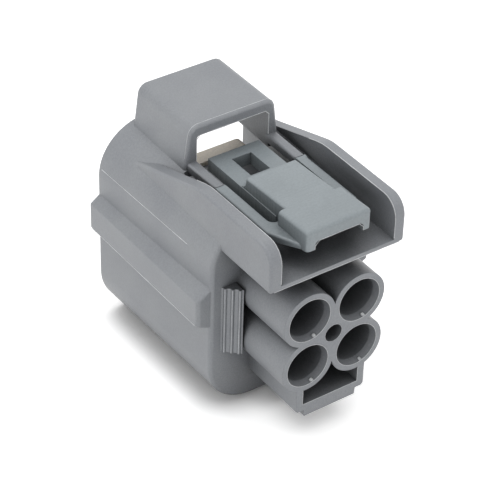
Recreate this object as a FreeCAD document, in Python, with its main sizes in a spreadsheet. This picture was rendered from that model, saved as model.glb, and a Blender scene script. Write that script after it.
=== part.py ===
"""Sealed connector housing with four wire cavities, drawn in millimetres.

Every piece is drawn on the centre of the four cavities, in the plane of the wire tubes' mouths: X runs
across, Y runs from the wire tubes towards the mating mouth, Z runs up. The Placement of each piece then
stands the part on its lowest edge, with its length centred on the origin.
"""
import FreeCAD, Part
import math
import os

import Sketcher
from FreeCAD import Rotation, Vector

doc = FreeCAD.newDocument("sealed_connector")
sheet = doc.addObject("Spreadsheet::Sheet", "Sizes")


class Size:
    """A length that carries its number and the formula that gives it from the sheet."""

    def __init__(self, number, formula):
        self.number = number
        self.formula = formula

    def __add__(self, other):
        other = as_size(other)
        return Size(self.number + other.number, f"({self.formula} + {other.formula})")

    def __radd__(self, other):
        return as_size(other) + self

    def __sub__(self, other):
        other = as_size(other)
        return Size(self.number - other.number, f"({self.formula} - {other.formula})")

    def __rsub__(self, other):
        return as_size(other) - self

    def __mul__(self, factor):
        factor = as_size(factor)
        return Size(self.number * factor.number, f"({self.formula} * {factor.formula})")

    __rmul__ = __mul__

    def __truediv__(self, factor):
        factor = as_size(factor)
        return Size(self.number / factor.number, f"({self.formula} / {factor.formula})")

    def __neg__(self):
        return Size(-self.number, f"(0 - {self.formula})")


def as_size(value):
    """Wrap a plain number, so that it can stand in a formula."""
    if isinstance(value, Size):
        return value
    return Size(value, f"({value!r})")


row = 0


def size(alias, number):
    """Write one driving dimension into the next row of the sheet."""
    global row
    row += 1
    sheet.set(f"A{row}", alias)
    sheet.set(f"B{row}", repr(number))
    sheet.setAlias(f"B{row}", alias)
    return Size(number, f"Sizes.{alias}")


# Wire cavities
pitch_across = size("pitch_across", 7.0)
pitch_up = size("pitch_up", 6.65)
bore_radius = size("bore_radius", 2.62)
bore_depth = size("bore_depth", 8.0)
mouth_radius = size("mouth_radius", 2.89)
lead_in = size("lead_in", 0.9)
tube_radius = size("tube_radius", 3.6)
passage_width = size("passage_width", 3.6)
passage_height = size("passage_height", 3.4)
core_radius = size("core_radius", 1.2)
core_depth = size("core_depth", 7.5)

# Hood
shoulder = size("shoulder", 9.4)
shoulder_wall = size("shoulder_wall", 1.2)
shoulder_round = size("shoulder_round", 0.5)
mouth_plane = size("mouth_plane", 32.9)
hood_half = size("hood_half", 11.1)
hood_top = size("hood_top", 13.35)
hood_bottom = size("hood_bottom", 14.1)
hood_draft = size("hood_draft", 0.45)
hood_top_round = size("hood_top_round", 6.6)
hood_bottom_round = size("hood_bottom_round", 6.6)
hood_wall = size("hood_wall", 1.1)

# Side band of the hood and the keyway inside it
band_half = size("band_half", 12.36)
band_crease = size("band_crease", 4.4)
band_high = size("band_high", 3.2)
band_low = size("band_low", -0.45)
band_foot = size("band_foot", -1.2)
band_front = size("band_front", 9.6)
band_end_round = size("band_end_round", 0.5)
band_edge_round = size("band_edge_round", 0.3)

# Tower inside the hood
tower_end = size("tower_end", 27.6)
tower_round = size("tower_round", 1.6)
groove_depth = size("groove_depth", 1.15)
groove_half = size("groove_half", 1.4)
groove_length = size("groove_length", 9.0)

# Core holes in the shoulder, beside the tubes
core_inner = size("core_inner", 5.9)
core_outer = size("core_outer", 7.2)
core_rise = size("core_rise", 1.25)
core_step = size("core_step", 0.6)
core_end = size("core_end", 15.0)
core_deep_inner = size("core_deep_inner", 4.6)
core_deep_outer = size("core_deep_outer", 6.3)
core_deep_rise = size("core_deep_rise", 0.85)

# Shelf and guard walls
trough_rear_half = size("trough_rear_half", 6.86)
shelf_front = size("shelf_front", -0.1)
shelf_under = size("shelf_under", 9.48)
shelf_thick = size("shelf_thick", 0.68)
guard_half = size("guard_half", 9.36)
guard_wall = size("guard_wall", 1.48)
guard_top = size("guard_top", 15.35)
guard_bend = size("guard_bend", 14.0)
guard_ramp_end = size("guard_ramp_end", 28.0)
guard_ramp_foot = size("guard_ramp_foot", 11.2)
guard_corner_round = size("guard_corner_round", 2.4)
guard_bend_round = size("guard_bend_round", 7.0)
guard_foot_round = size("guard_foot_round", 0.4)
guard_edge_round = size("guard_edge_round", 0.35)

# Arch over the lock channel
arch_front = size("arch_front", 20.9)
arch_rear = size("arch_rear", 32.3)
arch_top = size("arch_top", 18.5)
arch_top_half = size("arch_top_half", 5.92)
arch_foot_half = size("arch_foot_half", 6.7)
arch_round = size("arch_round", 1.4)
arch_rim_round = size("arch_rim_round", 0.45)
channel_half = size("channel_half", 5.1)
channel_top = size("channel_top", 17.15)
channel_round = size("channel_round", 0.5)

# Lock lever
arm_outer = size("arm_outer", 6.32)
arm_inner = size("arm_inner", 4.96)
arm_top = size("arm_top", 13.7)
arm_thick = size("arm_thick", 1.1)
arm_bend = size("arm_bend", 5.2)
slot_front = size("slot_front", 6.1)
hinge_line = size("hinge_line", 15.0)
hinge_gap = size("hinge_gap", 0.03)
lever_edge_round = size("lever_edge_round", 0.3)
arm_corner_round = size("arm_corner_round", 0.9)
pad_half = size("pad_half", 4.44)
pad_rear = size("pad_rear", 5.5)
pad_top = size("pad_top", 15.95)
pad_round = size("pad_round", 0.5)
pad_back = size("pad_back", 0.4)
pad_leg = size("pad_leg", 1.1)
pad_plate = size("pad_plate", 1.55)
pad_hollow_round = size("pad_hollow_round", 0.6)
leg_bottom = size("leg_bottom", 13.28)
block_half = size("block_half", 3.5)
block_rear = size("block_rear", 13.1)
block_top = size("block_top", 15.25)
block_ramp = size("block_ramp", 4.0)
block_root_round = size("block_root_round", 1.2)
tongue_ledge = size("tongue_ledge", 6.0)
tongue_half = size("tongue_half", 3.6)
tongue_top = size("tongue_top", 13.6)
tongue_thick = size("tongue_thick", 1.7)
tongue_end = size("tongue_end", 20.7)
lock_hole_half = size("lock_hole_half", 1.35)
lock_hole_front = size("lock_hole_front", 15.2)
lock_hole_rear = size("lock_hole_rear", 19.1)

# Bracket under the tubes
bracket_half = size("bracket_half", 4.9)
bracket_wall = size("bracket_wall", 0.93)
bracket_floor = size("bracket_floor", -9.07)
bracket_under = size("bracket_under", -9.98)
bracket_bevel = size("bracket_bevel", 0.3)
bracket_keel_half = size("bracket_keel_half", 3.75)
bracket_keel = size("bracket_keel", -10.9)
keel_draft = size("keel_draft", 0.1)

# Ribbed gussets on the shoulder
gusset_outer = size("gusset_outer", 9.2)
gusset_inner = size("gusset_inner", 7.3)
gusset_front = size("gusset_front", 7.6)
gusset_top = size("gusset_top", 4.3)
gusset_bottom = size("gusset_bottom", -5.1)
rib_radius = size("rib_radius", 0.2)

# Seal and retainer on the tower
seal_thick = size("seal_thick", 1.0)
seal_lip = size("seal_lip", 0.8)
seal_lip_width = size("seal_lip_width", 1.1)
seal_length = size("seal_length", 6.0)
fit_gap = size("fit_gap", 0.15)
cap_thick = size("cap_thick", 2.4)
cap_overhang = size("cap_overhang", 0.45)
cap_round = size("cap_round", 0.9)
cap_bevel = size("cap_bevel", 0.3)
tab_slot_width = size("tab_slot_width", 3.0)
tab_slot_height = size("tab_slot_height", 1.3)
cap_arm_length = size("cap_arm_length", 7.0)

doc.recompute()

PLANE_NORMAL = {"XY_Plane": 1, "XZ_Plane": -1, "YZ_Plane": 1}

# How far a pad reaches into what it grows from, and how far a cut passes beyond what it cuts
BITE = 0.3
BEYOND = 1


def new_body(name):
    """Start a sub-part, placed so that the finished part stands on its lowest face."""
    body = doc.addObject("PartDesign::Body", name)
    body.Label = name
    rest = -(mouth_plane + shelf_front) / 2
    body.setExpression("Placement.Base.y", rest.formula)
    body.setExpression("Placement.Base.z", hood_bottom.formula)
    return body


def join(body, name, **pieces):
    """Draw pieces as bodies of their own, with their edges finished, and fuse them into a sub-part."""
    drawn = []
    for piece_name, draw in pieces.items():
        piece = doc.addObject("PartDesign::Body", piece_name)
        draw(piece)
        drawn.append(piece)
    feature = body.newObject("PartDesign::Boolean", name)
    feature.setObjects(drawn)
    feature.Type = "Fuse"
    doc.recompute()
    return feature


def origin_plane(body, role):
    """Find one of the body's own origin planes."""
    for feature in body.Origin.OriginFeatures:
        if feature.Role == role:
            return feature
    raise ValueError(role)


def new_sketch(body, name, role, offset):
    """Attach a sketch to an origin plane, at a coordinate measured along the third axis."""
    sketch = body.newObject("Sketcher::SketchObject", name)
    sketch.AttachmentSupport = [(origin_plane(body, role), "")]
    sketch.MapMode = "FlatFace"
    along = as_size(offset) * PLANE_NORMAL[role]
    sketch.AttachmentOffset = FreeCAD.Placement(Vector(0, 0, along.number), Rotation())
    sketch.setExpression("AttachmentOffset.Base.z", along.formula)
    return sketch


def bind(sketch, index, value):
    """Tie one constraint of a sketch to its formula."""
    sketch.setExpression(f"Constraints[{index}]", as_size(value).formula)


def polygon(sketch, points):
    """Draw a closed outline whose corners are held by their two coordinates."""
    corners = [Vector(as_size(x).number, as_size(y).number, 0) for x, y in points]
    first = sketch.GeometryCount
    count = len(corners)
    for i in range(count):
        sketch.addGeometry(Part.LineSegment(corners[i], corners[(i + 1) % count]), False)
    for i in range(count):
        ends = (first + i, 2, first + (i + 1) % count, 1)
        sketch.addConstraint(Sketcher.Constraint("Coincident", *ends))
    for i, (x, y) in enumerate(points):
        for kind, value in (("DistanceX", as_size(x)), ("DistanceY", as_size(y))):
            held = Sketcher.Constraint(kind, -1, 1, first + i, 1, value.number)
            bind(sketch, sketch.addConstraint(held), value)


def rectangle(sketch, low_x, high_x, low_y, high_y):
    """Draw a rectangle by its two corners."""
    polygon(sketch, [(low_x, low_y), (high_x, low_y), (high_x, high_y), (low_x, high_y)])


def rounded(sketch, half, low, high, low_round, high_round):
    """Draw a rectangle, even about the upright axis, with rounded corners."""
    half, low, high, low_round, high_round = map(as_size, (half, low, high, low_round, high_round))
    corners = [(half, low, low_round, -90), (half, high, high_round, 0),
               (-half, high, high_round, 90), (-half, low, low_round, 180)]
    arcs = []
    for x, y, bend, angle in corners:
        inwards = Vector(-math.copysign(bend.number, x.number), bend.number if y is low else -bend.number, 0)
        whole = Part.Circle(Vector(x.number, y.number, 0) + inwards, Vector(0, 0, 1), bend.number)
        arc = Part.ArcOfCircle(whole, math.radians(angle), math.radians(angle + 90))
        arcs.append(sketch.addGeometry(arc, False))
        bind(sketch, sketch.addConstraint(Sketcher.Constraint("Radius", arcs[-1], bend.number)), bend)
    for i in range(4):
        start = sketch.Geometry[arcs[i]].EndPoint
        end = sketch.Geometry[arcs[(i + 1) % 4]].StartPoint
        line = sketch.addGeometry(Part.LineSegment(start, end), False)
        sketch.addConstraint(Sketcher.Constraint("Tangent", arcs[i], 2, line, 1))
        sketch.addConstraint(Sketcher.Constraint("Tangent", line, 2, arcs[(i + 1) % 4], 1))
        sketch.addConstraint(Sketcher.Constraint("Vertical" if i % 2 == 0 else "Horizontal", line))
        kind, value = (("DistanceX", half), ("DistanceY", high), ("DistanceX", -half), ("DistanceY", low))[i]
        held = Sketcher.Constraint(kind, -1, 1, line, 1, value.number)
        bind(sketch, sketch.addConstraint(held), value)


def circle(sketch, x, y, radius):
    """Draw a circle held by its centre and radius."""
    x, y, radius = as_size(x), as_size(y), as_size(radius)
    place = Vector(x.number, y.number, 0)
    index = sketch.addGeometry(Part.Circle(place, Vector(0, 0, 1), radius.number), False)
    for kind, value in (("DistanceX", x), ("DistanceY", y)):
        held = Sketcher.Constraint(kind, -1, 1, index, 3, value.number)
        bind(sketch, sketch.addConstraint(held), value)
    held = Sketcher.Constraint("Radius", index, radius.number)
    bind(sketch, sketch.addConstraint(held), radius)


def feature_of(body, kind, name, sketch, length, reverse, slope):
    """Make a pad or a pocket from a sketch, over a bound length, widening by a slope as it goes."""
    feature = body.newObject(kind, name)
    feature.Profile = sketch
    feature.setExpression("Length", as_size(length).formula)
    if slope is not None:
        feature.setExpression("TaperAngle", f"atan({slope.formula})")
    feature.Reversed = reverse
    doc.recompute()
    return feature


def pad(body, name, role, draw, start, end, slope=None):
    """Fill an outline from one coordinate to a higher one, along the plane's axis."""
    sketch = new_sketch(body, name + "_outline", role, start)
    draw(sketch)
    reverse = PLANE_NORMAL[role] < 0
    return feature_of(body, "PartDesign::Pad", name, sketch, as_size(end) - start, reverse, slope)


def pocket(body, name, role, draw, start, end, slope=None):
    """Cut an outline from one coordinate to a higher one, and prove that it cut."""
    before = body.Shape.Volume
    sketch = new_sketch(body, name + "_outline", role, start)
    draw(sketch)
    reverse = PLANE_NORMAL[role] > 0
    feature = feature_of(body, "PartDesign::Pocket", name, sketch, as_size(end) - start, reverse, slope)
    if not body.Shape.Volume < before:
        raise RuntimeError(f"{name} cut nothing")
    return feature


def dress_edges(body, kind, name, base, reach, wanted):
    """Fillet or chamfer every edge of the base feature whose box passes the test."""
    names = []
    for number, edge in enumerate(base.Shape.Edges, 1):
        if wanted(edge.BoundBox):
            names.append(f"Edge{number}")
    if not names:
        raise RuntimeError(f"{name} found no edge")
    feature = body.newObject(kind, name)
    feature.Base = (base, names)
    feature.setExpression("Radius" if kind.endswith("Fillet") else "Size", as_size(reach).formula)
    doc.recompute()
    return feature


def round_edges(body, name, base, radius, wanted):
    """Round edges by a fillet."""
    return dress_edges(body, "PartDesign::Fillet", name, base, radius, wanted)


def bevel_edges(body, name, base, width, wanted):
    """Break edges by a chamfer."""
    return dress_edges(body, "PartDesign::Chamfer", name, base, width, wanted)


def near(value, target):
    """Compare a coordinate with a size."""
    return abs(value - as_size(target).number) < 0.01


def wide(box, half):
    """Tell whether a box lies wholly at a half width, on either side."""
    return near(abs(box.XMin), half) and near(abs(box.XMax), half) and box.XLength < half.number


cavities = [(pitch_across * (side / 2), pitch_up * (level / 2))
            for side, level in ((-1, -1), (1, 1), (-1, 1), (1, -1))]
closing = shoulder + shoulder_wall
tower_half = pitch_across / 2 + tube_radius
tower_rise = pitch_up / 2 + tube_radius
shelf_top = shelf_under + shelf_thick
guard_inner = guard_half - guard_wall
arm_middle = arm_top - arm_thick / 2
hood_front_half = hood_half - hood_draft
hood_slope = hood_draft / (mouth_plane - closing)


def circles(sketch, places, radius):
    """Circles of one radius at several places."""
    for x, z in places:
        circle(sketch, x, z, radius)


def windows(sketch, width, height):
    """A rectangle centred on each cavity."""
    for x, z in cavities:
        rectangle(sketch, x - width / 2, x + width / 2, z - height / 2, z + height / 2)


def hood_section(sketch, inset):
    """The hood's outline at its mouth, moved inwards on every side."""
    rounded(sketch, hood_half - inset, inset - hood_bottom, hood_top - inset,
            hood_bottom_round - inset, hood_top_round - inset)


def make_hood(housing):
    """The outside of the hood: a drafted box with large rounded corners."""
    block = pad(housing, "shoulder_block", "XZ_Plane",
                lambda sketch: hood_section(sketch, hood_draft), shoulder, closing)
    round_edges(housing, "shoulder_rim", block, shoulder_round,
                lambda box: near(box.YMax, shoulder))
    pad(housing, "hood", "XZ_Plane", lambda sketch: hood_section(sketch, hood_draft),
        closing, mouth_plane, hood_slope)


def draw_bands(piece):
    """The stepped bands on both flanks of the hood, with round front ends."""

    def band(sketch):
        """The stepped outline of both bands."""
        for side in (-1, 1):
            polygon(sketch, [
                (side * (hood_front_half - hood_wall), band_foot),
                (side * hood_front_half, band_foot),
                (side * band_half, band_low),
                (side * band_half, band_high),
                (side * hood_front_half, band_crease),
                (side * (hood_front_half - hood_wall), band_crease)])

    bands = pad(piece, "band_blocks", "XZ_Plane", band, band_front, mouth_plane)
    ends = round_edges(piece, "band_ends", bands, band_end_round,
                       lambda box: near(box.YMax, band_front) and wide(box, band_half))
    round_edges(piece, "band_edges", ends, band_edge_round,
                lambda box: near(box.YMax, mouth_plane) and wide(box, band_half) and near(box.ZLength, 0))


def make_hollow(housing):
    """The inside of the hood behind its closing wall, with a keyway in each flank."""
    pocket(housing, "hood_hollow", "XZ_Plane", lambda sketch: hood_section(sketch, hood_draft + hood_wall),
           closing, mouth_plane, hood_slope)

    def keyway(sketch):
        """The outline of the keyway behind each band."""
        for side in (-1, 1):
            polygon(sketch, [
                (side * (hood_front_half - hood_wall * 2), band_foot + hood_wall),
                (side * hood_front_half, band_foot + hood_wall),
                (side * (band_half - hood_wall), band_low + hood_wall),
                (side * (band_half - hood_wall), band_high - hood_wall / 2),
                (side * (hood_front_half - hood_wall * 2), band_high - hood_wall / 2)])

    pocket(housing, "keyways", "XZ_Plane", keyway, closing + hood_wall, mouth_plane)


def make_tower(housing):
    """The inner tower that carries the four terminal passages."""
    pad(housing, "tower", "XZ_Plane",
        lambda sketch: rounded(sketch, tower_half, -tower_rise, tower_rise, tower_round, tower_round),
        closing - shoulder_wall / 2, tower_end)

    def groove(sketch):
        """The outline of both grooves for the retainer's arms."""
        for side in (-1, 1):
            polygon(sketch, [
                (side * (tower_half - groove_depth), -groove_half),
                (side * (tower_half + fit_gap), -groove_half),
                (side * (tower_half + fit_gap), groove_half),
                (side * (tower_half - groove_depth), groove_half)])

    pocket(housing, "arm_grooves", "XZ_Plane", groove, tower_end - groove_length, tower_end)


def make_side_cores(housing):
    """The stepped core holes in the shoulder, between an upper and a lower tube on each side."""

    def pair(sketch, near_x, far_x, half):
        """One rectangle on each side."""
        for side in (-1, 1):
            polygon(sketch, [(side * near_x, -half), (side * far_x, -half),
                             (side * far_x, half), (side * near_x, half)])

    pocket(housing, "side_core_mouths", "XZ_Plane",
           lambda sketch: pair(sketch, core_inner, core_outer, core_rise),
           shoulder - BITE, shoulder + core_step)
    pocket(housing, "side_core_depths", "XZ_Plane",
           lambda sketch: pair(sketch, core_deep_inner, core_deep_outer, core_deep_rise),
           shoulder, core_end)


def draw_guard(piece):
    """The shelf under the finger pad and the two walls that guard the lever."""
    pad(piece, "shelf", "XY_Plane",
        lambda sketch: rectangle(sketch, -guard_half, guard_half, shelf_front, closing),
        shelf_under, shelf_top)
    for side in (-1, 1):
        start = guard_inner if side > 0 else -guard_half
        walls = pad(piece, f"guard_{'left' if side < 0 else 'right'}", "YZ_Plane",
                    lambda sketch: polygon(sketch, [
                        (shelf_front, shelf_under),
                        (shelf_front, guard_top),
                        (guard_bend, guard_top),
                        (guard_ramp_end, guard_ramp_foot),
                        (guard_ramp_end, shelf_under)]),
                    start, start + guard_wall)
    corners = round_edges(piece, "guard_corners", walls, guard_corner_round,
                          lambda box: near(box.YMax, shelf_front) and near(box.ZMin, guard_top))
    bends = round_edges(piece, "guard_bends", corners, guard_bend_round,
                        lambda box: near(box.YMin, guard_bend) and near(box.YMax, guard_bend))
    feet = round_edges(piece, "guard_feet", bends, guard_foot_round,
                       lambda box: wide(box, guard_half) and near(box.ZMax, shelf_under))
    round_edges(piece, "guard_edges", feet, guard_edge_round,
                lambda box: wide(box, guard_half) and near(box.YMax, shelf_front))


def open_roof(housing):
    """The trough of the lever and the lock channel behind it, both open into the hood."""
    pocket(housing, "lever_trough", "XY_Plane",
           lambda sketch: polygon(sketch, [
               (-guard_inner, shelf_front - BEYOND), (guard_inner, shelf_front - BEYOND),
               (guard_inner, guard_bend), (trough_rear_half, arch_front),
               (-trough_rear_half, arch_front), (-guard_inner, guard_bend)]),
           shelf_top, arch_top + BEYOND)
    pocket(housing, "lock_channel", "XZ_Plane",
           lambda sketch: rounded(sketch, channel_half, tower_rise + BEYOND, channel_top,
                                  channel_round, channel_round),
           arch_front - BEYOND, mouth_plane + BEYOND)


def draw_arch(piece):
    """The arch that roofs the lock channel."""
    arch = pad(piece, "arch_block", "XZ_Plane",
               lambda sketch: polygon(sketch, [
                   (-arch_foot_half, hood_top - hood_wall),
                   (arch_foot_half, hood_top - hood_wall),
                   (arch_top_half, arch_top),
                   (-arch_top_half, arch_top)]),
               arch_front, arch_rear)
    edges = round_edges(piece, "arch_edges", arch, arch_round,
                        lambda box: near(box.ZMin, arch_top) and near(box.YLength, arch_rear - arch_front))
    round_edges(piece, "arch_rims", edges, arch_rim_round,
                lambda box: near(box.YLength, 0) and near(box.ZMax, arch_top) and near(box.ZMin, arch_top))


def draw_arm_roots(piece):
    """The fixed ends of the lever's side arms, hollowed for the bending line."""
    for side in (-1, 1):
        start = arm_inner if side > 0 else -arm_outer
        roots = pad(piece, f"arm_root_{'left' if side < 0 else 'right'}", "YZ_Plane",
                    lambda sketch: rectangle(sketch, hinge_line, arch_front + BITE,
                                             arm_top - arm_thick, arm_top),
                    start, start + (arm_outer - arm_inner))
    round_edges(piece, "root_edges", roots, lever_edge_round,
                lambda box: near(box.ZMin, arm_top) and near(box.XLength, 0))
    pocket(piece, "bending_line", "YZ_Plane",
           lambda sketch: circle(sketch, hinge_line, arm_middle, arm_thick / 2 + hinge_gap),
           -arm_outer - BEYOND, arm_outer + BEYOND)


def make_gussets(housing):
    """The ribbed wedges between the shoulder and the tubes."""

    def wedge(sketch):
        """The slanted outline of both wedges, seen from above."""
        for side in (-1, 1):
            polygon(sketch, [
                (side * gusset_outer, shoulder),
                (side * gusset_inner, gusset_front),
                (side * gusset_inner, shoulder + BITE),
                (side * gusset_outer, shoulder + BITE)])

    def ribs(sketch):
        """Three thin round ribs along each slanted face."""
        for side in (-1, 1):
            for share in (1 / 6, 3 / 6, 5 / 6):
                x = gusset_outer + (gusset_inner - gusset_outer) * share
                circle(sketch, side * x, shoulder + (gusset_front - shoulder) * share, rib_radius)

    pad(housing, "gussets", "XY_Plane", wedge, gusset_bottom, gusset_top)
    pad(housing, "gusset_ribs", "XY_Plane", ribs, gusset_bottom, gusset_top)


def make_bracket(housing):
    """The U bracket under the lower tubes, with its shallow keel."""
    pad(housing, "bracket", "XZ_Plane",
        lambda sketch: polygon(sketch, [
            (-bracket_half, -pitch_up / 2),
            (-bracket_half, bracket_under + bracket_bevel),
            (bracket_bevel - bracket_half, bracket_under),
            (-bracket_keel_half, bracket_under),
            (keel_draft - bracket_keel_half, bracket_keel),
            (bracket_keel_half - keel_draft, bracket_keel),
            (bracket_keel_half, bracket_under),
            (bracket_half - bracket_bevel, bracket_under),
            (bracket_half, bracket_under + bracket_bevel),
            (bracket_half, -pitch_up / 2)]),
        0, shoulder + BITE)
    inner = bracket_half - bracket_wall
    pocket(housing, "bracket_hollow", "XZ_Plane",
           lambda sketch: rectangle(sketch, -inner, inner, bracket_floor, BITE - pitch_up / 2),
           -BEYOND, shoulder)


def make_tubes(housing):
    """The four wire tubes on their common web, bored from the mouth."""
    pad(housing, "web", "XZ_Plane",
        lambda sketch: rectangle(sketch, -pitch_across / 2, pitch_across / 2, -pitch_up / 2, pitch_up / 2),
        0, shoulder + BITE)
    for name, places in (("tubes_rising", cavities[:2]), ("tubes_falling", cavities[2:])):
        pad(housing, name, "XZ_Plane", lambda sketch: circles(sketch, places, tube_radius),
            0, shoulder + BITE)
    pocket(housing, "seal_bores", "XZ_Plane", lambda sketch: circles(sketch, cavities, bore_radius),
           0, bore_depth)
    pocket(housing, "lead_ins", "XZ_Plane", lambda sketch: circles(sketch, cavities, mouth_radius),
           0, lead_in, (bore_radius - mouth_radius) / lead_in)
    pocket(housing, "passages", "XZ_Plane",
           lambda sketch: windows(sketch, passage_width, passage_height), bore_depth - BITE, tower_end)
    pocket(housing, "core_hole", "XZ_Plane",
           lambda sketch: circle(sketch, 0, 0, core_radius), 0, core_depth)


def make_housing():
    """The one-piece moulding."""
    housing = new_body("housing")
    make_hood(housing)
    join(housing, "outer_forms", side_bands=draw_bands, guard=draw_guard, arch=draw_arch)
    make_hollow(housing)
    open_roof(housing)
    make_tower(housing)
    make_side_cores(housing)
    join(housing, "rails", arm_roots=draw_arm_roots)
    make_gussets(housing)
    make_bracket(housing)
    make_tubes(housing)
    return housing


def make_lever():
    """The lock lever: two arms, finger pad, raised block and tongue."""
    lever = new_body("latch_lever")
    plate_slope = (pad_top - block_top) / block_rear
    pad_rear_top = pad_top - plate_slope * pad_rear
    finger_pad = pad(lever, "finger_pad", "YZ_Plane",
                     lambda sketch: polygon(sketch, [
                         (0, arm_top - arm_thick), (0, pad_top), (pad_rear, pad_rear_top),
                         (pad_rear, arm_top - arm_thick)]),
                     -pad_half, pad_half)
    round_edges(lever, "pad_edges", finger_pad, pad_round,
                lambda box: box.ZMax > pad_rear_top.number - 0.01 and box.YMin < pad_rear.number / 2)
    arms = pad(lever, "arms", "XY_Plane",
               lambda sketch: polygon(sketch, [
                   (-arm_outer, hinge_line), (-arm_outer, arm_bend), (pad_round - pad_half, 0),
                   (pad_half - pad_round, 0), (arm_outer, arm_bend), (arm_outer, hinge_line),
                   (arm_inner, hinge_line), (arm_inner, slot_front), (-arm_inner, slot_front),
                   (-arm_inner, hinge_line)]),
               arm_top - arm_thick, arm_top)
    corners = round_edges(lever, "arm_corners", arms, arm_corner_round,
                          lambda box: near(box.ZMin, arm_top - arm_thick) and near(box.ZMax, arm_top)
                          and ((wide(box, arm_outer) and near(box.YMax, arm_bend))
                               or (wide(box, arm_inner) and near(box.YMax, slot_front))))
    round_edges(lever, "arm_edges", corners, lever_edge_round,
                lambda box: near(box.ZMin, arm_top) and near(box.YMax, hinge_line) and wide(box, arm_outer))
    block = pad(lever, "block", "YZ_Plane",
                lambda sketch: polygon(sketch, [
                    (pad_rear - BITE, arm_top - arm_thick), (pad_rear - BITE, pad_rear_top),
                    (block_rear, block_top), (block_rear, tongue_top - tongue_thick),
                    (block_rear - block_ramp, arm_top - arm_thick)]),
                -block_half, block_half)
    round_edges(lever, "block_edges", block, lever_edge_round,
                lambda box: wide(box, block_half) and near(box.ZMin, block_top))
    tongue = pad(lever, "tongue", "YZ_Plane",
                 lambda sketch: rectangle(sketch, block_rear - tongue_ledge, tongue_end,
                                          tongue_top - tongue_thick, tongue_top),
                 -tongue_half, tongue_half)
    round_edges(lever, "block_root", tongue, block_root_round,
                lambda box: near(box.YMin, block_rear) and near(box.ZMin, tongue_top)
                and near(box.ZMax, tongue_top))
    pocket(lever, "lock_hole", "XY_Plane",
           lambda sketch: rectangle(sketch, -lock_hole_half, lock_hole_half, lock_hole_front, lock_hole_rear),
           tongue_top - tongue_thick - BEYOND, tongue_top + BEYOND)
    underside = arm_top - arm_thick - BEYOND
    pocket(lever, "tip_relief", "YZ_Plane",
           lambda sketch: polygon(sketch, [
               (-BEYOND, underside), (arm_bend, underside), (arm_bend, arm_top - arm_thick),
               (0, leg_bottom), (-BEYOND, leg_bottom)]),
           -arm_outer - BEYOND, arm_outer + BEYOND)
    inner = pad_half - pad_leg
    pocket(lever, "pad_hollow", "XZ_Plane",
           lambda sketch: rounded(sketch, inner, underside, pad_top - pad_plate,
                                  pad_hollow_round, pad_hollow_round),
           -BEYOND, pad_rear - pad_back)
    for side in (-1, 1):
        start = arm_inner if side > 0 else -arm_outer
        pad(lever, f"bend_{'left' if side < 0 else 'right'}", "YZ_Plane",
            lambda sketch: circle(sketch, hinge_line, arm_middle, arm_thick / 2),
            start, start + (arm_outer - arm_inner))
    return lever


def tower_frame(sketch, extra):
    """The tower's rounded outline, grown by an extra on every side."""
    rounded(sketch, tower_half + extra, -tower_rise - extra, tower_rise + extra,
            tower_round + extra, tower_round + extra)


def make_seal():
    """The ring seal: a sleeve round the tower's root with two lips."""
    seal = new_body("ring_seal")
    start = closing
    pad(seal, "sleeve", "XZ_Plane", lambda sketch: tower_frame(sketch, seal_thick),
        start, start + seal_length)
    lips = ("rear", "front")
    spacing = (seal_length - seal_lip_width * len(lips)) / (len(lips) + 1)
    rise = seal_lip / seal_lip_width * 2
    for number, lip in enumerate(lips):
        low = start + spacing * (number + 1) + seal_lip_width * number
        crest = low + seal_lip_width / 2
        pad(seal, f"{lip}_lip_rise", "XZ_Plane", lambda sketch: tower_frame(sketch, seal_thick),
            low, crest, rise)
        pad(seal, f"{lip}_lip_fall", "XZ_Plane", lambda sketch: tower_frame(sketch, seal_thick + seal_lip),
            crest, low + seal_lip_width, -rise)
    pocket(seal, "tower_hole", "XZ_Plane", lambda sketch: tower_frame(sketch, 0),
           start - BEYOND, start + seal_length + BEYOND)
    return seal


def make_retainer():
    """The front retainer: a cap over the tower's tip with two side arms."""
    retainer = new_body("front_retainer")
    start = tower_end + fit_gap
    end = start + cap_thick
    half = tower_half + cap_overhang
    rise = tower_rise + cap_overhang
    cap = pad(retainer, "cap", "XZ_Plane",
              lambda sketch: rounded(sketch, half, -rise, rise, cap_round, cap_round), start, end)
    bevel_edges(retainer, "cap_rim", cap, cap_bevel, lambda box: near(box.YMin, end))
    for side in (-1, 1):
        low = tower_half - groove_depth + fit_gap
        pad(retainer, f"arm_{'left' if side < 0 else 'right'}", "XZ_Plane",
            lambda sketch: polygon(sketch, [
                (side * low, fit_gap - groove_half),
                (side * tower_half, fit_gap - groove_half),
                (side * tower_half, groove_half - fit_gap),
                (side * low, groove_half - fit_gap)]),
            tower_end - cap_arm_length, end - cap_thick / 2)
    pocket(retainer, "tab_slots", "XZ_Plane",
           lambda sketch: windows(sketch, tab_slot_width, tab_slot_height), start, end)
    return retainer


bodies = [make_housing(), make_lever(), make_seal(), make_retainer()]
doc.recompute()

for item in doc.Objects:
    if "Invalid" in item.State or "Error" in item.State:
        raise RuntimeError(f"{item.Name} failed: {item.State}")

os.makedirs("parts", exist_ok=True)
for body in bodies:
    if body.Shape.isNull() or not body.Shape.isValid():
        raise RuntimeError(f"{body.Label} has no valid shape")
    body.Shape.exportStep(f"parts/{body.Label}.step")
    box = body.Shape.BoundBox
    print(body.Label, "solids", len(body.Shape.Solids), "volume", round(body.Shape.Volume, 1),
          "box", [round(v, 2) for v in (box.XMin, box.XMax, box.YMin, box.YMax, box.ZMin, box.ZMax)])
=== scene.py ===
# %% [markdown]
# # A sealed four-way wire connector
# The part is one grey moulding: four round wire tubes, a rounded hood, a lock lever between two guard walls
# and an arch over the lock. The shape comes from the CAD frame, so this lesson is about its finishes, the
# small marks that moulding leaves, and the light of a product photograph.

# %% Load the CAD frame
import math

import bmesh
import bpy
from mathutils import Matrix, Vector, noise


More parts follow.
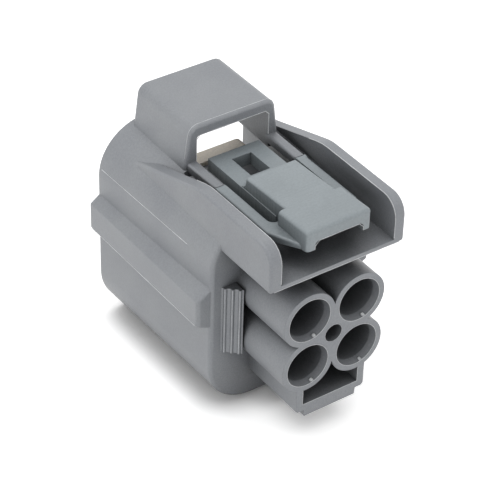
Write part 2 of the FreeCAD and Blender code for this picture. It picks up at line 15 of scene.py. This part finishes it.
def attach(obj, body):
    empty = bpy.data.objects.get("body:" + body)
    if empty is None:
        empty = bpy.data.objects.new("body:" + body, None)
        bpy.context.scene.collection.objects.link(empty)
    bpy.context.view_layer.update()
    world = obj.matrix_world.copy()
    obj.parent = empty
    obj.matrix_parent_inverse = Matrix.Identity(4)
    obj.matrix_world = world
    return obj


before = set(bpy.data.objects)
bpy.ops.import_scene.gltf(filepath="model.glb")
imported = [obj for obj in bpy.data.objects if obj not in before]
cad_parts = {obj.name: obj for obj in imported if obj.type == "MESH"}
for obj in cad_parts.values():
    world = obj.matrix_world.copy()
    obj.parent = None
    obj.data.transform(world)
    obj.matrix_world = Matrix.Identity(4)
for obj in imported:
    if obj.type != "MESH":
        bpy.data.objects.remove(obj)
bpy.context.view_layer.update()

# %% [markdown]
# ## Working in the drawing's own coordinates
# The drawing measures everything in millimetres from the centre of the four wire tubes' mouths: x across, y
# towards the mating mouth, z up. One helper turns such a place into metres in the shared frame, so that each
# mark can be given the number that a moulder would read off the drawing.

# %% Places on the part
MM = 0.001
HALF_LENGTH = 16.4
CAVITY_HEIGHT = 14.1


def spot(x, y, z):
    """A place in the frame, in metres, from millimetres about the centre of the tubes' mouths."""
    return Vector((x, y - HALF_LENGTH, z + CAVITY_HEIGHT)) * MM


print("centre of the tubes' mouths:", [round(v, 4) for v in spot(0, 0, 0)])

# %% [markdown]
# ## Colours as they are written
# A colour on a screen is written as an sRGB hex code, in which equal steps look equal. The renderer adds up
# light, so its sockets want linear numbers. One function turns the first into the second.

# %% From sRGB hex to linear
def linear(hex_code):
    """A linear colour from its sRGB hex code."""
    channels = [int(hex_code[i:i + 2], 16) / 255 for i in (0, 2, 4)]
    return tuple(c / 12.92 if c <= 0.04045 else ((c + 0.055) / 1.055) ** 2.4 for c in channels) + (1.0,)


print("the grey 808080 sends back", round(linear("808080")[0], 3), "of the light")

# %% [markdown]
# ## One helper for shader nodes
# A material is a small graph. This helper adds one node, sets its plain values and wires its inputs, so that
# each finish below reads as a list of what it is made of.

# %% The node helper
def add_node(tree, kind, settings=None, **inputs):
    """Add one shader node. An input is a plain value, or an output socket to link.

    An input goes by its label, with _ for a space, or by _ and its number where labels repeat.
    """
    node = tree.nodes.new(kind)
    for name, value in (settings or {}).items():
        setattr(node, name, value)
    for name, value in inputs.items():
        key = int(name[1:]) if name[0] == "_" and name[1:].isdigit() else name.replace("_", " ")
        if isinstance(value, bpy.types.NodeSocket):
            tree.links.new(value, node.inputs[key])
        else:
            node.inputs[key].default_value = value
    return node


# %% [markdown]
# ## Moulded PBT
# Sealed connectors are moulded in PBT with short glass fibres. The tool's surface is finely spark-eroded, so the
# plastic is satin, not glossy. Close up, it has faint flow clouds a few millimetres wide, fibre specks a tenth
# of a millimetre long, and a grain just fine enough to spread the highlights. Specks and grain are drawn two to
# four times as coarse as the real ones, so that they still show as a slight unevenness at this distance.
#
# No moulded edge is truly sharp, because the steel of the tool can't be. A Bevel node turns the normal within a
# tenth of a millimetre of each edge, so that every edge catches a thin line of light.
#
# The plastic is darker down in its slots and bores, as painted shade. An Ambient Occlusion node measures how
# much of the surroundings within a few millimetres is closed in, and the colour is darkened by that much.
#
# The lever's tool face was milled, not eroded. The cutter's strokes run across the finger pad and stay as faint
# lines, drawn here by a noise that is stretched sixty times along them.

# %% A moulded plastic
CLOUD_MM = 6.0
SPECK_MM = 0.22
GRAIN_MM = 0.16
EDGE_MM = 0.10
PAINTED_SHADE_MM = 8.0
STROKE_MM = 0.5
STROKE_STRETCH = 60
SPECK_CONTRAST = 0.06
ROUGHNESS_SPREAD = 0.05
CLOSED_IN, OPEN_ENOUGH = 0.18, 0.75
SHADER_SAMPLES = 6
PBT_IOR = 1.55


def moulded_plastic(name, base_hex, cloud_hex, roughness, grain=0.035, stroke=0.0, kept_in_painted_shade=0.15):
    """Satin plastic with painted shade in slots. Grain and stroke are depths in mm, the last the share kept
    there.
    """
    material = bpy.data.materials.new(name)
    material.use_nodes = True
    tree = material.node_tree
    shader = tree.nodes["Principled BSDF"]
    place = add_node(tree, "ShaderNodeTexCoord").outputs["Object"]

    clouds = add_node(tree, "ShaderNodeTexNoise", Vector=place, Scale=1 / (CLOUD_MM * MM), Detail=2.0)
    cloud_share = add_node(tree, "ShaderNodeMapRange", Value=clouds.outputs["Fac"], From_Min=0.35,
                           From_Max=0.65)
    tint = add_node(tree, "ShaderNodeMix", {"data_type": "RGBA"}, Factor=cloud_share.outputs["Result"],
                    _6=linear(base_hex), _7=linear(cloud_hex))

    specks = add_node(tree, "ShaderNodeTexNoise", Vector=place, Scale=1 / (SPECK_MM * MM), Detail=1.0)
    speck_share = add_node(tree, "ShaderNodeMapRange", Value=specks.outputs["Fac"], From_Min=0.3,
                           From_Max=0.7, To_Min=1 - SPECK_CONTRAST, To_Max=1 + SPECK_CONTRAST)
    # Painted shade: the colour is darkened where the surroundings are closed in.
    painted_shade_mask = add_node(tree, "ShaderNodeAmbientOcclusion", {"samples": SHADER_SAMPLES},
                        Distance=PAINTED_SHADE_MM * MM)
    painted_shade_share = add_node(tree, "ShaderNodeMapRange", Value=painted_shade_mask.outputs["AO"], From_Min=CLOSED_IN,
                           From_Max=OPEN_ENOUGH, To_Min=kept_in_painted_shade, To_Max=1.0)
    share = add_node(tree, "ShaderNodeMath", {"operation": "MULTIPLY"}, _0=speck_share.outputs["Result"],
                     _1=painted_shade_share.outputs["Result"])
    colour = add_node(tree, "ShaderNodeVectorMath", {"operation": "SCALE"}, Scale=share.outputs[0],
                      _0=tint.outputs[2])
    tree.links.new(colour.outputs["Vector"], shader.inputs["Base Color"])

    rough = add_node(tree, "ShaderNodeMapRange", Value=specks.outputs["Fac"], From_Min=0.2, From_Max=0.8,
                     To_Min=roughness - ROUGHNESS_SPREAD, To_Max=roughness + ROUGHNESS_SPREAD)
    tree.links.new(rough.outputs["Result"], shader.inputs["Roughness"])

    edges = add_node(tree, "ShaderNodeBevel", {"samples": SHADER_SAMPLES}, Radius=EDGE_MM * MM)
    along = add_node(tree, "ShaderNodeMapping", Vector=place,
                     Scale=(1 / STROKE_STRETCH, 1.0, 1 / STROKE_STRETCH))
    strokes = add_node(tree, "ShaderNodeTexNoise", Vector=along.outputs["Vector"],
                       Scale=1 / (STROKE_MM * MM), Detail=1.0)
    milled = add_node(tree, "ShaderNodeBump", Height=strokes.outputs["Fac"], Strength=1.0,
                      Distance=stroke * MM, Normal=edges.outputs["Normal"])
    grains = add_node(tree, "ShaderNodeTexNoise", Vector=place, Scale=1 / (GRAIN_MM * MM), Detail=2.0)
    bump = add_node(tree, "ShaderNodeBump", Height=grains.outputs["Fac"], Strength=1.0,
                    Distance=grain * MM, Normal=milled.outputs["Normal"])
    tree.links.new(bump.outputs["Normal"], shader.inputs["Normal"])
    shader.inputs["IOR"].default_value = PBT_IOR
    return material


# %% [markdown]
# ## Four plastics from one recipe
# The housing is dyed a cool mid-grey. The lever is the same plastic, set a touch lighter and greener as painted
# light, and its milled face carries the strokes. The retainer is natural, undyed PBT, a creamy white set lighter
# than its own colour as painted light, so that it stays bright inside the hood. Flash is the housing's plastic
# in a film so thin that it looks pale, and its beads are partly painted highlights.

# %% The plastics
grey_pbt = moulded_plastic("grey glass-filled PBT, spark-eroded", "8c8f94", "929599", 0.38)
# The lever's colour is painted lighter and greener than the housing's: painted light.
lever_pbt_painted_lighter = moulded_plastic("grey glass-filled PBT, milled tool face", "8f979b", "959da1", 0.36,
                            grain=0.02, stroke=0.055, kept_in_painted_shade=0.35)
# The retainer's colour is set lighter than its own: painted light.
cream_pbt_painted_lighter = moulded_plastic("natural PBT", "efe5d5", "f3eadc", 0.42, grain=0.025, kept_in_painted_shade=1.0)
# Pale beads: partly flash, partly painted highlight along the edges.
flash_and_highlight_pbt = moulded_plastic("thin PBT flash and painted highlights", "d4d6d8", "dcdfe1", 0.5, grain=0.02, kept_in_painted_shade=0.8)
print("plastics:", [plastic.name for plastic in (grey_pbt, lever_pbt_painted_lighter, cream_pbt_painted_lighter, flash_and_highlight_pbt)])

# %% [markdown]
# ## Silicone
# The ring seal is soft silicone, cured with a little oil that bleeds to the surface and eases the mating. It is
# dyed through, so its colour is nearly even. What the eye sees is the oil: patches a few millimetres wide that
# shine a little more than the rubber between them. One noise gives both the shine and a faint change of tone.

# %% The seal's silicone
OIL_MM = 2.5
SILICONE_IOR = 1.41
silicone = bpy.data.materials.new("self-lubricating silicone rubber")
silicone.use_nodes = True
rubber_tree = silicone.node_tree
rubber = rubber_tree.nodes["Principled BSDF"]
rubber_place = add_node(rubber_tree, "ShaderNodeTexCoord").outputs["Object"]
oil = add_node(rubber_tree, "ShaderNodeTexNoise", Vector=rubber_place, Scale=1 / (OIL_MM * MM), Detail=2.0)
oil_tint = add_node(rubber_tree, "ShaderNodeMix", {"data_type": "RGBA"}, Factor=oil.outputs["Fac"],
                    _6=linear("2f3134"), _7=linear("3a3c40"))
oil_rough = add_node(rubber_tree, "ShaderNodeMapRange", Value=oil.outputs["Fac"], From_Min=0.3, From_Max=0.7,
                     To_Min=0.28, To_Max=0.42)
rubber_tree.links.new(oil_tint.outputs[2], rubber.inputs["Base Color"])
rubber_tree.links.new(oil_rough.outputs["Result"], rubber.inputs["Roughness"])
rubber.inputs["IOR"].default_value = SILICONE_IOR
print(silicone.name, "nodes:", len(rubber_tree.nodes))

# %% [markdown]
# ## Flash
# Where the halves of the tool meet, a film of plastic creeps into the joint and stays as flash: a raised line a
# few hundredths of a millimetre thick, of uneven height, that looks paler than the wall because light passes
# through it. A line painted by a shader would stay flat and would need the edge's place in its nodes. A thin
# bead of real geometry catches the light from every side, so each line is a bead, drawn out step by step from
# one small ring. The beads are about twice as thick as real flash, so that they still show as fine bright lines,
# and their pale colour is partly a painted highlight along the edges.

# %% One bead of flash
BEAD_MM = 0.05
FINE_BEAD_MM = 0.04
BROAD_BEAD_MM = 0.06
BEAD_SIDES = 6
STEP_MM = 0.8
WANDER_MM = 1.7
WANDER_SHARE = 0.5


def flash_and_highlight_line(bm, corners, thickness=BEAD_MM):
    """Draw a bead along straight runs between corners, its thickness wandering as it goes."""
    for start, end in zip(corners, corners[1:]):
        run = end - start
        steps = max(2, round(run.length / (STEP_MM * MM)))
        stand = Matrix.Translation(start) @ run.to_track_quat("Z", "Y").to_matrix().to_4x4()
        ring = bmesh.ops.create_circle(bm, cap_ends=True, segments=BEAD_SIDES, radius=thickness * MM,
                                       matrix=stand)
        tip = ring["verts"][0].link_faces[0]
        for step in range(1, steps + 1):
            place = start + run * (step / steps)
            grown = bmesh.ops.extrude_face_region(bm, geom=[tip])["geom"]
            tip = next(item for item in grown if isinstance(item, bmesh.types.BMFace))
            bmesh.ops.translate(bm, vec=place - tip.calc_center_median(), verts=tip.verts)
            wanted = thickness * MM * (1 + WANDER_SHARE * noise.noise(place / (WANDER_MM * MM)))
            now = (tip.verts[0].co - place).length
            bmesh.ops.scale(bm, vec=Vector((1, 1, 1)) * (wanted / now), space=Matrix.Translation(-place),
                            verts=tip.verts)


# %% [markdown]
# ## Flash round a hole
# Round a bore, the same small ring is spun once about the bore's axis. The spin closes on itself, so its last
# ring has to merge with the first, and no seam is left.

# %% One ring of flash
RING_STEPS = 48


def flash_ring(bm, centre, radius, thickness):
    """Draw a bead round a bore's mouth, as one full spin of a small ring."""
    stand = Matrix.Translation(centre + Vector((radius * MM, 0, 0)))
    ring = bmesh.ops.create_circle(bm, segments=BEAD_SIDES, radius=thickness * MM, matrix=stand)
    edges = {edge for vert in ring["verts"] for edge in vert.link_edges}
    bmesh.ops.spin(bm, geom=list(ring["verts"]) + list(edges), cent=centre, axis=(0, 1, 0),
                   angle=math.tau, steps=RING_STEPS, use_merge=True)


# %% [markdown]
# ## From beads to a piece
# The beads of one moulding become one object. It keeps its own origin at zero, rides on the body that carries
# the moulding, and so moves with it at every joint.

# %% Making and riding a piece
def flash_piece(name, bm, body):
    """Turn the beads' faces outwards and let them ride on a body as one piece."""
    bmesh.ops.recalc_face_normals(bm, faces=bm.faces)
    mesh = bpy.data.meshes.new(name)
    bm.to_mesh(mesh)
    bm.free()
    piece = bpy.data.objects.new(name, mesh)
    bpy.context.scene.collection.objects.link(piece)
    mesh.materials.append(flash_and_highlight_pbt)
    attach(piece, body)
    print(name, "faces:", len(mesh.polygons))


def arc(centre_a, centre_b, radius, start, end, steps):
    """Points in a plane on an arc round a centre, between two angles in degrees."""
    turns = [math.radians(start + (end - start) * step / steps) for step in range(steps + 1)]
    return [(centre_a + radius * math.cos(turn), centre_b + radius * math.sin(turn)) for turn in turns]


# %% [markdown]
# ## Where the housing's tool parts
# On each side, the tool's halves meet along the flank of the hood and at the lower corner of the side band, and
# a slide meets them along the guard wall's inner edge. The ribs of the gussets are ground into an insert, which
# leaves a fine line on each crest.

# %% Flash on the housing's sides
GUARD_INNER, GUARD_TOP, GUARD_ROUND, SHELF_FRONT = 7.88, 15.35, 2.4, -0.1
guard_corner = arc(SHELF_FRONT + GUARD_ROUND, GUARD_TOP - GUARD_ROUND, GUARD_ROUND, 180, 90, 6)
guard_ramp = [(12.98, GUARD_TOP), (14.0, 15.27), (14.97, 15.06), (16.6, 14.58)]
side_lines = {
    "flank": [(10.610, 14.4, 7.95), (10.980, 32.4, 7.95)],
    "band": [(12.335, 10.2, -0.40), (12.335, 32.6, -0.40)],
    "guard": [(GUARD_INNER, y, z) for y, z in [(SHELF_FRONT, 10.4)] + guard_corner + guard_ramp],
}
GUSSET_OUTER, GUSSET_REACH = (9.34, 9.26), (1.9, 1.8)
CREST_FOOT, CREST_TOP = -5.0, 4.2

beads = bmesh.new()
for side in (-1, 1):
    for line in side_lines.values():
        flash_and_highlight_line(beads, [spot(side * x, y, z) for x, y, z in line])
    for share in (1 / 6, 3 / 6, 5 / 6):
        crest_x, crest_y = (outer - reach * share for outer, reach in zip(GUSSET_OUTER, GUSSET_REACH))
        flash_and_highlight_line(beads, [spot(side * crest_x, crest_y, CREST_FOOT), spot(side * crest_x, crest_y, CREST_TOP)],
                   FINE_BEAD_MM)
print("lines on each side:", list(side_lines), "faces so far:", len(beads.faces))

# %% [markdown]
# ## Where the cores shut off
# Every opening is shut by a core, and the joint between core and tool leaves a rim of flash: on the shelf's lip,
# round the arch's opening and its front edge, and inside the bracket. The line on the front edge also stands as
# a painted highlight.

# %% Flash on the housing's openings, one line also a painted highlight
ARCH_FRONT, ARCH_EDGE, ARCH_ROUND = 20.9, 21.35, 1.4
arch_opening = [(-5.1, 13.8), (-5.1, 16.65), (-4.6, 17.15), (4.6, 17.15), (5.1, 16.65), (5.1, 13.8)]
arch_side = [(6.46, 14.2)] + arc(4.68, 17.1, ARCH_ROUND, 7, 90, 5)
arch_edge_highlight = [(-x, z) for x, z in arch_side] + arch_side[::-1]
bracket_rim = [(-3.97, -6.9), (-3.97, -9.07), (3.97, -9.07), (3.97, -6.9)]
flash_and_highlight_line(beads, [spot(-8.7, 0, 9.57), spot(8.7, 0, 9.57)], BROAD_BEAD_MM)
flash_and_highlight_line(beads, [spot(x, ARCH_FRONT, z) for x, z in arch_opening])
# Flash that also stands as a painted highlight along the arch's outer front edge.
flash_and_highlight_line(beads, [spot(x, ARCH_EDGE, z) for x, z in arch_edge_highlight], FINE_BEAD_MM)
flash_and_highlight_line(beads, [spot(x, 0, z) for x, z in bracket_rim], FINE_BEAD_MM)
print("faces so far:", len(beads.faces))

# %% [markdown]
# ## The wire tubes' mouths
# Each core pin leaves a fine ring at its tube's mouth. A short pale bead at the bottom of each lead-in is a
# painted glint, a lamp's reflection. The thin pin between the tubes leaves a ring too.

# %% Flash and painted glints on the wire tubes
PITCH_ACROSS, PITCH_UP = 7.0, 6.65
MOUTH_RADIUS, CORE_HOLE_RADIUS = 2.89, 1.2
CORE_BEAD_MM, PAINTED_GLINT_MM = 0.03, 0.2
for across in (-PITCH_ACROSS / 2, PITCH_ACROSS / 2):
    for up in (-PITCH_UP / 2, PITCH_UP / 2):
        flash_ring(beads, spot(across, 0, up), MOUTH_RADIUS, FINE_BEAD_MM)
        # Painted glint: a short pale bead at the bottom of the lead-in.
        flash_and_highlight_line(beads, [spot(across + 0.84, 0.06, up - 2.74), spot(across + 0.81, 0.42, up - 2.64)],
                   PAINTED_GLINT_MM)
flash_ring(beads, spot(0, 0, 0), CORE_HOLE_RADIUS, CORE_BEAD_MM)
flash_piece("housing_flash_and_highlights", beads, "housing")

# %% [markdown]
# ## Flash on the lever
# A slide forms the slots beside the tongue and leaves a line along its lower edges, and another shuts off the
# hollow under the finger pad. These beads are a piece of their own, because they move with the lever.

# %% The lever's beads
pad_hollow = [(-3.34, 13.3), (-3.34, 13.8), (-2.74, 14.4), (2.74, 14.4), (3.34, 13.8), (3.34, 13.3)]
beads = bmesh.new()
for side in (-1, 1):
    flash_and_highlight_line(beads, [spot(side * 3.6, 8.2, 11.9), spot(side * 3.6, 20.6, 11.9)])
flash_and_highlight_line(beads, [spot(x, 0, z) for x, z in pad_hollow], FINE_BEAD_MM)
flash_piece("lever_flash", beads, "lever")

# %% [markdown]
# ## Dressing the CAD nodes
# The four CAD nodes keep their meshes and places. Each one only gets the finish of its real material.

# %% A finish for each node
finishes = {"housing": grey_pbt, "latch_lever": lever_pbt_painted_lighter, "ring_seal": silicone, "front_retainer": cream_pbt_painted_lighter}
for node_name, material in finishes.items():
    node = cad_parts[node_name]
    node.data.materials.clear()
    node.data.materials.append(material)
    print(node_name, "is", material.name)

# %% [markdown]
# ## The light of a product photograph
# The part stands on white paper in a tent of white cloth, so light reaches it from all round and only the slots
# and bores go dark. A picture like that shows paper and cloth as plain white, though they send less light back.
# The Light Path node tells the two apart: a ray from the camera, a reflection or a clear material sees white,
# while light that bounces on to the part has its true strength.

# %% Which rays see white
def seen_directly(tree):
    """An output that is 1 for a camera, glossy or transmission ray, and 0 for light that bounces on."""
    path = add_node(tree, "ShaderNodeLightPath")
    direct = add_node(tree, "ShaderNodeMath", {"operation": "MAXIMUM"}, _0=path.outputs["Is Camera Ray"],
                      _1=path.outputs["Is Glossy Ray"])
    return add_node(tree, "ShaderNodeMath", {"operation": "MAXIMUM"}, _0=direct.outputs[0],
                    _1=path.outputs["Is Transmission Ray"]).outputs[0]


# %% [markdown]
# ## The paper
# Paper is matte. It has two tones, a pale grey for the light that bounces up to the part and white for what is
# seen, and a little emission lifts the white. The emission fades within a few millimetres of the part, where
# the paper is closed in, so the narrow contact shadow is partly real and partly painted shadow.

# %% The paper floor
PAPER_HALF_M = 0.6
PAPER_ROUGHNESS = 0.9
PAPER_LIFT = 0.5
CONTACT_SHADOW_MM = 4.0
CONTACT_SAMPLES = 8
paper = bpy.data.materials.new("white paper sweep")
paper.use_nodes = True
paper_tree = paper.node_tree
paper_shader = paper_tree.nodes["Principled BSDF"]
paper_shader.inputs["Roughness"].default_value = PAPER_ROUGHNESS
paper_seen = seen_directly(paper_tree)
paper_tone = add_node(paper_tree, "ShaderNodeMix", {"data_type": "RGBA"}, Factor=paper_seen,
                      _6=linear("c8c8c8"), _7=linear("fafafa"))
paper_tree.links.new(paper_tone.outputs[2], paper_shader.inputs["Base Color"])
# Painted contact shadow: the lift fades where the part closes the paper in.
painted_shadow_mask = add_node(paper_tree, "ShaderNodeAmbientOcclusion", {"samples": CONTACT_SAMPLES},
                          Distance=CONTACT_SHADOW_MM * MM)
paper_gain = add_node(paper_tree, "ShaderNodeMapRange", Value=painted_shadow_mask.outputs["AO"], From_Min=0.5,
                      From_Max=0.95, To_Max=PAPER_LIFT)
paper_lift = add_node(paper_tree, "ShaderNodeMath", {"operation": "MULTIPLY"}, _0=paper_seen,
                      _1=paper_gain.outputs["Result"])
paper_shader.inputs["Emission Color"].default_value = (1, 1, 1, 1)
paper_tree.links.new(paper_lift.outputs[0], paper_shader.inputs["Emission Strength"])

sheet = bmesh.new()
bmesh.ops.create_grid(sheet, x_segments=1, y_segments=1, size=PAPER_HALF_M)
floor_mesh = bpy.data.meshes.new("paper_floor")
sheet.to_mesh(floor_mesh)
sheet.free()
floor = bpy.data.objects.new("paper_floor", floor_mesh)
bpy.context.scene.collection.objects.link(floor)
floor_mesh.materials.append(paper)
print("paper:", [round(v, 2) for v in floor.dimensions], "m")

# %% [markdown]
# ## The tent
# The world is the cloth of the tent. Its light on the part is a little below white, because cloth swallows some
# of the light that is sent through it.

# %% The white surround
WORLD_FILL = 0.82
world = bpy.data.worlds.new("studio")
bpy.context.scene.world = world
world.use_nodes = True
sky = world.node_tree
sky.nodes.clear()
strength = add_node(sky, "ShaderNodeMapRange", Value=seen_directly(sky), To_Min=WORLD_FILL, To_Max=1.0)
glow = add_node(sky, "ShaderNodeBackground", Color=(1, 1, 1, 1), Strength=strength.outputs["Result"])
add_node(sky, "ShaderNodeOutputWorld", Surface=glow.outputs["Background"])
print("tent's light on the part:", WORLD_FILL, "of white")

# %% [markdown]
# ## The camera
# The part was photographed from above its wire end, from some distance, so its edges hardly converge. The
# camera's place and turn were found by fitting the moulding's corners, and are given as a photographer would
# give them: the bearing, the height angle, the tilt and the place.

# %% Camera
AZIMUTH, ELEVATION, ROLL = map(math.radians, (-35.952, 36.866, -1.799))
CAMERA_MM = (-119.883, -148.466, 155.254)
FOCAL_PIXELS = 2142.07
IMAGE_WIDTH = 500
SENSOR_WIDTH_MM = 36
NEAREST_SEEN_M = 0.01
camera_data = bpy.data.cameras.new("product_camera")
camera_data.sensor_width = SENSOR_WIDTH_MM
camera_data.lens = FOCAL_PIXELS * camera_data.sensor_width / IMAGE_WIDTH
camera_data.clip_start = NEAREST_SEEN_M
camera = bpy.data.objects.new("product_camera", camera_data)
camera.rotation_mode = "XYZ"
level = Matrix.Rotation(AZIMUTH, 4, "Z") @ Matrix.Rotation(math.pi / 2 - ELEVATION, 4, "X")
turn = level @ Matrix.Rotation(-ROLL, 4, "Z")
camera.matrix_world = Matrix.Translation(spot(*CAMERA_MM)) @ turn
bpy.context.scene.collection.objects.link(camera)
bpy.context.scene.camera = camera
bpy.context.scene.view_settings.view_transform = "Standard"
print("lens:", round(camera_data.lens, 1), "mm, camera at:", [round(v, 3) for v in spot(*CAMERA_MM)])

# %% [markdown]
# ## Three small softboxes
# The tent alone would leave the part flat. A softbox behind and above it makes its top faces the brightest, a
# faint one at the side lifts the long flank, and one above the wire end opens the tubes and puts a gleam on
# their lips. They are weak beside the tent, so no colour clips and the shadow stays soft. Their powers were
# found by rendering each lamp alone, and then set until the greys of the part came close to the photograph's.

# %% Lamps
def soft_lamp(name, place, aim, size, power):
    """Hang a square softbox at a place, pointing at an aim, and report it."""
    data = bpy.data.lights.new(name, "AREA")
    data.size = size
    data.energy = power
    lamp = bpy.data.objects.new(name, data)
    lamp.location = place
    lamp.rotation_euler = (aim - place).to_track_quat("-Z", "Y").to_euler()
    bpy.context.scene.collection.objects.link(lamp)
    print(name, "power:", power, "W, distance:", round((aim - place).length, 2), "m")


middle_of_part = spot(0, 16, 2)
softboxes = {
    "key_softbox": ((-0.08, 0.10, 0.44), 0.18, 0.30),
    "side_softbox": ((-0.42, -0.02, 0.12), 0.25, 0.06),
    "front_softbox": ((-0.20, -0.38, 0.30), 0.10, 0.10),
}
for name, (place, size, power) in softboxes.items():
    soft_lamp(name, Vector(place), middle_of_part, size, power)
